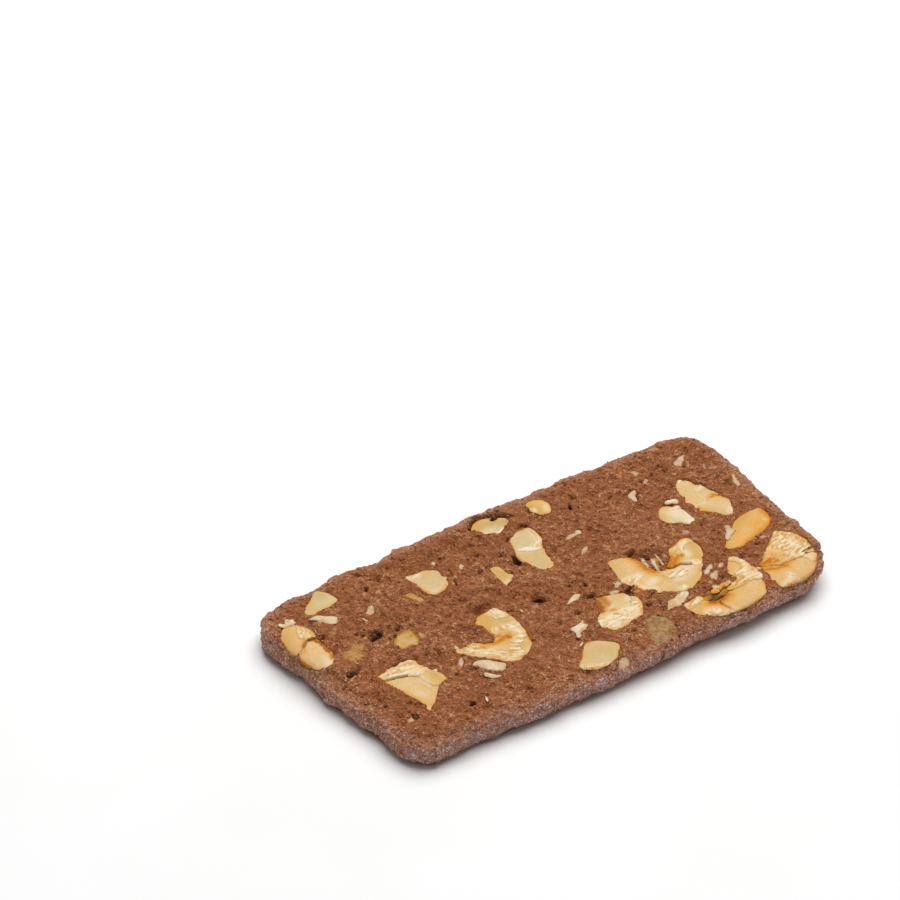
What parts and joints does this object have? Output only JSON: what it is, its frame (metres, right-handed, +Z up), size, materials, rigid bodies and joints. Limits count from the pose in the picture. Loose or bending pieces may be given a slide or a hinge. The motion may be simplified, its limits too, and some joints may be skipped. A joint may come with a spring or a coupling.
{
  "type": "cocoa biscuit",
  "caption": "Thin crisp slice of cocoa dough with cut hazelnut pieces set through it, flat on both cut faces, with rounded corners and flour-dusted side walls.",
  "frame": {"origin": "under the middle of the slice's box, on the surface that it lies on", "axes": "+X along the slice's length, +Y across it towards the longer far edge, +Z up out of the shown cut face"},
  "size_m": [0.0792, 0.0414, 0.0045],
  "materials": {
    "dough": "porous baked crumb, matte",
    "hazelnut": "cut nut, satin",
    "toasted_hazelnut": "cut toasted nut with flaky bands, satin"
  },
  "bodies": {
    "root": {"biscuit": "dough", "nut_twin_upper": "hazelnut", "nut_twin_lower": "hazelnut", "nut_triangle": "hazelnut", "nut_shield": "hazelnut", "nut_block": "hazelnut", "nut_sunken": "hazelnut", "nut_pear": "hazelnut", "nut_half": "hazelnut", "nut_split": "hazelnut", "nut_double": "hazelnut", "nut_pale": "hazelnut", "nut_leaf": "hazelnut", "nut_fan": "hazelnut", "nut_crescent_left": "toasted_hazelnut", "nut_crescent_middle": "toasted_hazelnut", "nut_crescent_right": "toasted_hazelnut"}
  },
  "joints": []
}
